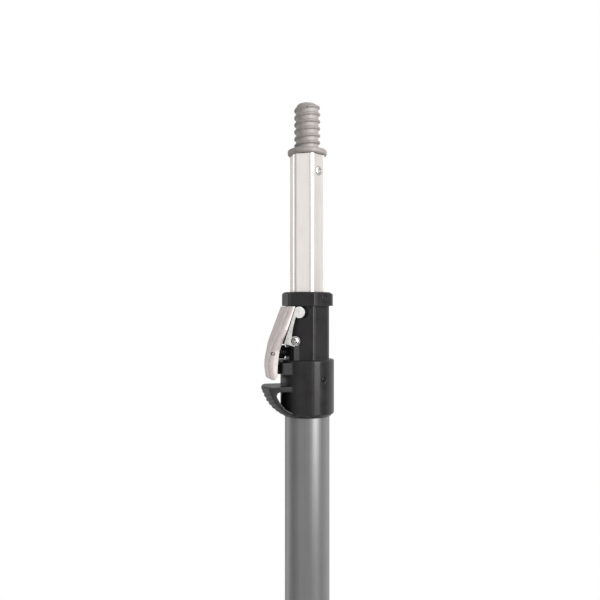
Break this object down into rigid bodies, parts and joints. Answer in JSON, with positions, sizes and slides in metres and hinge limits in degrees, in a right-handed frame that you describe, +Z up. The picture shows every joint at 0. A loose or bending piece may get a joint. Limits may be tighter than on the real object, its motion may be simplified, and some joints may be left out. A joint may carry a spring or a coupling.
{
  "type": "telescopic window cleaning pole",
  "caption": "Two-part telescopic pole: round grey lower tube, hexagonal upper tube with a coarse screw tip, and a squeeze-lever lock with a hooked finger rest.",
  "frame": {"origin": "centre of the end cap's flat bottom face, on the pole's axis", "axes": "+Z up along the pole towards the screw tip, lever and finger rest on the -X side"},
  "size_m": [0.0525, 0.0386, 0.7634],
  "materials": {
    "grey_anodised_tube": "satin grey anodised, fine die lines along the tube",
    "bright_aluminium": "bright satin drawn aluminium",
    "tip_alloy": "matt warm grey casting with a fine grain",
    "black_nylon": "satin black glass-filled nylon",
    "cast_handle": "bead-blasted pale grey casting",
    "plated_steel": "bright zinc plated",
    "black_screw": "black oxide",
    "spring_steel": "black phosphated wire",
    "shoe_alloy": "die-cast, matt",
    "rubber_pad": "matt black rubber"
  },
  "bodies": {
    "pole": {"end_cap": "black_nylon", "outer_tube": "grey_anodised_tube", "lock_housing": "black_nylon", "lock_collar": "black_nylon", "collar_plug": "black_nylon", "guide_bush": "black_nylon", "sleeve_screw_near": "black_screw", "sleeve_screw_far": "black_screw", "pivot_screw_near": "plated_steel", "pivot_screw_far": "plated_steel", "return_spring": "spring_steel"},
    "lever": {"lever_yoke": "plated_steel", "lever_handle": "cast_handle", "handle_rivet_near": "plated_steel", "handle_rivet_far": "plated_steel", "handle_pin": "plated_steel", "brake_shoe": "shoe_alloy", "shoe_pad": "rubber_pad", "shoe_rivet": "plated_steel", "spring_seat": "black_nylon"},
    "upper_tube": {"hex_tube": "bright_aluminium", "tube_glide": "black_nylon", "threaded_tip": "tip_alloy", "tip_rivet_near": "bright_aluminium", "tip_rivet_far": "bright_aluminium", "glide_rivet_near": "bright_aluminium", "glide_rivet_far": "bright_aluminium"}
  },
  "joints": [
    {"name": "tube_slide", "type": "slide", "parent": "pole", "child": "upper_tube", "axis": [0, 0, 1], "range_m": [-0.083, 0.4]},
    {"name": "lever_pivot", "type": "hinge", "parent": "pole", "child": "lever", "pos_m": [-0.0125, 0, 0.5939], "axis": [0, -1, 0], "range_deg": [0, 4.5], "stiffness_Nm_per_rad": 0.6, "springref_deg": -20.05, "deforming": ["return_spring"]}
  ]
}
